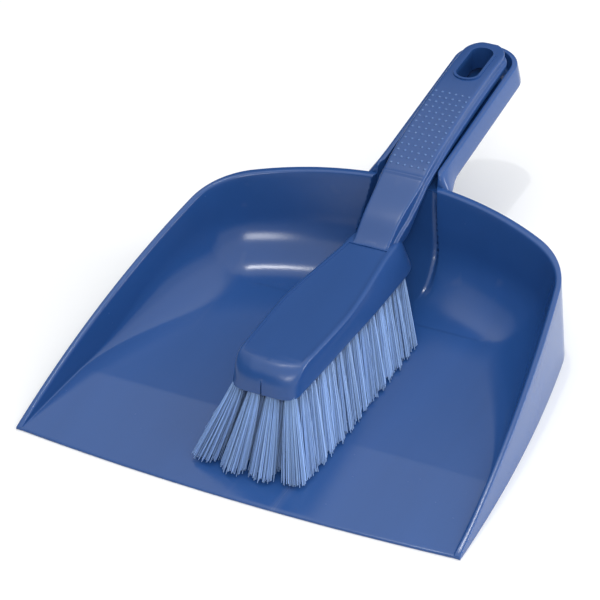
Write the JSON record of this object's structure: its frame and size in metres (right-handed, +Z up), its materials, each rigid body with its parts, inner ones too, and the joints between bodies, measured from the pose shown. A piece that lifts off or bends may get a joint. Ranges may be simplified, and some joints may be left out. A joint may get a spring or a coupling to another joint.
{
  "type": "dustpan and brush",
  "caption": "Moulded plastic dustpan with a hand brush resting in it: scoop with a high curved rim, channel handle, and a tufted brush whose grip lies in the channel.",
  "frame": {"origin": "centre of the footprint's bounding box, on the floor", "axes": "+Y from the scoop's lip to the tip of the handles, +Z up, +X to the right of someone who holds the handle behind the scoop"},
  "size_m": [0.2212, 0.3276, 0.074],
  "materials": {
    "pan_plastic": "glossy moulded polypropylene, mid blue",
    "stock_plastic": "satin to glossy moulded polypropylene, mid blue",
    "bristle": "fine trimmed filaments, light blue"
  },
  "bodies": {
    "pan": {"dustpan": "pan_plastic"},
    "brush": {"brush_stock": "stock_plastic", "tuft_r01_c1": "bristle", "tuft_r01_c2": "bristle", "tuft_r01_c3": "bristle", "tuft_r01_c4": "bristle", "tuft_r02_c1": "bristle", "tuft_r02_c2": "bristle", "tuft_r02_c3": "bristle", "tuft_r02_c4": "bristle", "tuft_r03_c1": "bristle", "tuft_r03_c2": "bristle", "tuft_r03_c3": "bristle", "tuft_r03_c4": "bristle", "tuft_r04_c1": "bristle", "tuft_r04_c2": "bristle", "tuft_r04_c3": "bristle", "tuft_r04_c4": "bristle", "tuft_r05_c1": "bristle", "tuft_r05_c2": "bristle", "tuft_r05_c3": "bristle", "tuft_r05_c4": "bristle", "tuft_r06_c1": "bristle", "tuft_r06_c2": "bristle", "tuft_r06_c3": "bristle", "tuft_r06_c4": "bristle", "tuft_r07_c1": "bristle", "tuft_r07_c2": "bristle", "tuft_r07_c3": "bristle", "tuft_r07_c4": "bristle", "tuft_r08_c1": "bristle", "tuft_r08_c2": "bristle", "tuft_r08_c3": "bristle", "tuft_r08_c4": "bristle", "tuft_r09_c1": "bristle", "tuft_r09_c2": "bristle", "tuft_r09_c3": "bristle", "tuft_r09_c4": "bristle", "tuft_r10_c1": "bristle", "tuft_r10_c2": "bristle", "tuft_r10_c3": "bristle", "tuft_r10_c4": "bristle", "tuft_r11_c1": "bristle", "tuft_r11_c2": "bristle", "tuft_r11_c3": "bristle", "tuft_r11_c4": "bristle", "tuft_r12_c1": "bristle", "tuft_r12_c2": "bristle", "tuft_r12_c3": "bristle", "tuft_r12_c4": "bristle", "tuft_r13_c1": "bristle", "tuft_r13_c2": "bristle", "tuft_r13_c3": "bristle", "tuft_r13_c4": "bristle", "tuft_r14_c1": "bristle", "tuft_r14_c2": "bristle", "tuft_r14_c3": "bristle", "tuft_r14_c4": "bristle"}
  },
  "joints": [
    {"name": "brush_lift", "type": "slide", "parent": "pan", "child": "brush", "axis": [0, 0, 1], "range_m": [0, 0.12]}
  ]
}
